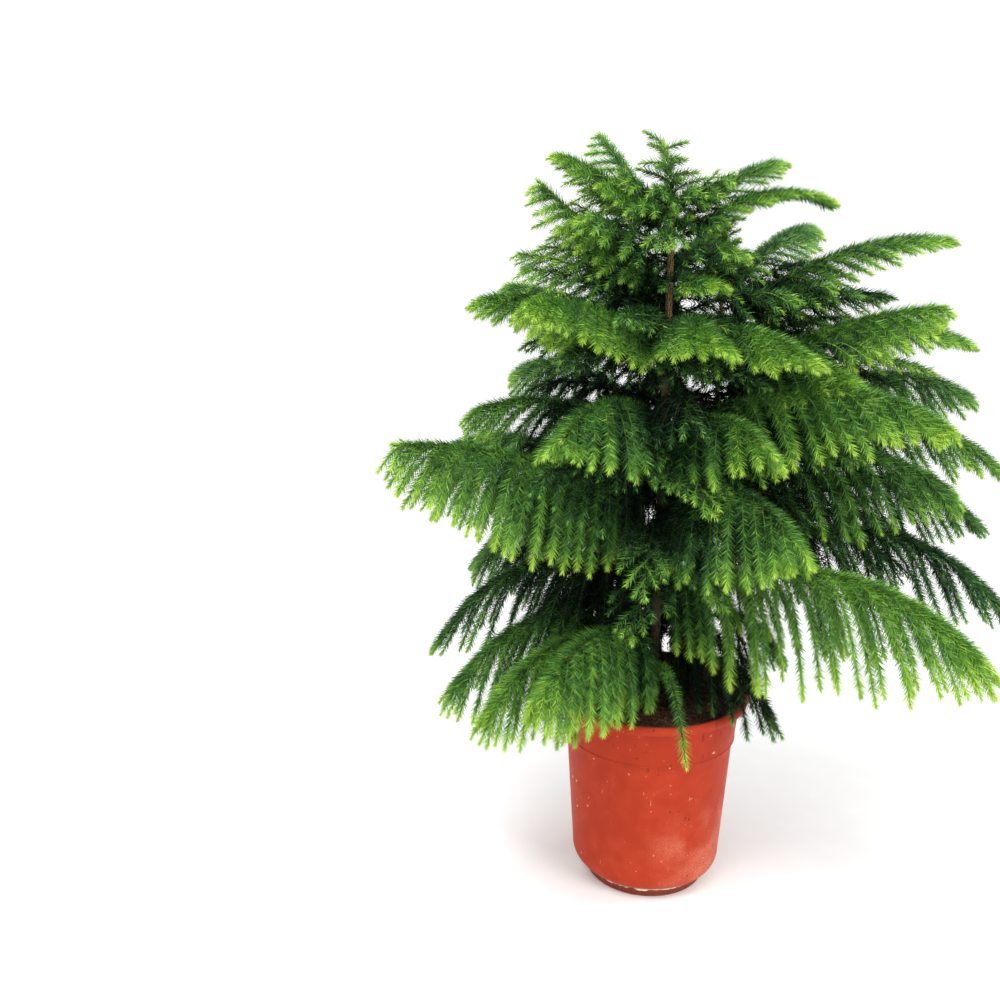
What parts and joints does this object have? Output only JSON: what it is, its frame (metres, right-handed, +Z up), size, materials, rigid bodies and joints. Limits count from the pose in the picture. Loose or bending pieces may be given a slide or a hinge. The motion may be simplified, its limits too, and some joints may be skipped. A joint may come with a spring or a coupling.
{
  "type": "norfolk island pine",
  "caption": "Young norfolk island pine with tiers of drooping, needle-clad fronds on slender upright stems, growing in a round plastic nursery pot",
  "frame": {"origin": "centre of the pot's flat underside, where the plant stands", "axes": "+Z up along the trunk; -Y is the front, +X the right as seen from the front"},
  "size_m": [0.6907, 0.4938, 0.8026],
  "materials": {
    "terracotta_plastic": "moulded nursery-pot plastic in terracotta orange-red, satin, scuffed and dusty",
    "compost": "moist dark brown peat compost with reddish fibres",
    "young_bark": "thin tan-brown bark ringed with dark leaf scars",
    "needles": "soft awl-shaped green needles, brighter yellow-green at the growing tips"
  },
  "bodies": {
    "root": {"bough_side1_1": "young_bark", "bough_side2_2": "young_bark", "bough_tier2_2": "young_bark", "compost": "compost", "foliage_low_1": "needles", "foliage_second_stem_leader": "needles", "foliage_shoot_1": "needles", "foliage_side1_1": "needles", "foliage_side2_1": "needles", "foliage_side2_2": "needles", "foliage_side2_3": "needles", "foliage_side3_1": "needles", "foliage_side3_2": "needles", "foliage_side3_3": "needles", "foliage_side3_4": "needles", "foliage_side4_1": "needles", "foliage_side4_2": "needles", "foliage_tier1_1": "needles", "foliage_tier1_2": "needles", "foliage_tier1_3": "needles", "foliage_tier1_4": "needles", "foliage_tier1_5": "needles", "foliage_tier1_6": "needles", "foliage_tier2_1": "needles", "foliage_tier2_2": "needles", "foliage_tier2_3": "needles", "foliage_tier2_4": "needles", "foliage_tier2_5": "needles", "foliage_tier3_1": "needles", "foliage_tier3_2": "needles", "foliage_tier3_3": "needles", "foliage_tier3_4": "needles", "foliage_tier3_5": "needles", "foliage_tier3_6": "needles", "foliage_tier3_7": "needles", "foliage_tier4_1": "needles", "foliage_tier4_2": "needles", "foliage_tier4_3": "needles", "foliage_tier4_4": "needles", "foliage_tier4_5": "needles", "foliage_tier4_6": "needles", "foliage_tier5_1": "needles", "foliage_tier5_2": "needles", "foliage_tier5_3": "needles", "foliage_tier5_4": "needles", "foliage_tier5_5": "needles", "foliage_tier5_6": "needles", "foliage_tier6_1": "needles", "foliage_tier6_2": "needles", "foliage_tier6_3": "needles", "foliage_tier6_4": "needles", "foliage_tier7_1": "needles", "foliage_tier7_2": "needles", "foliage_tier7_3": "needles", "foliage_tier7_4": "needles", "foliage_trunk_leader": "needles", "pot": "terracotta_plastic", "second_stem": "young_bark", "trunk": "young_bark"}
  },
  "joints": []
}
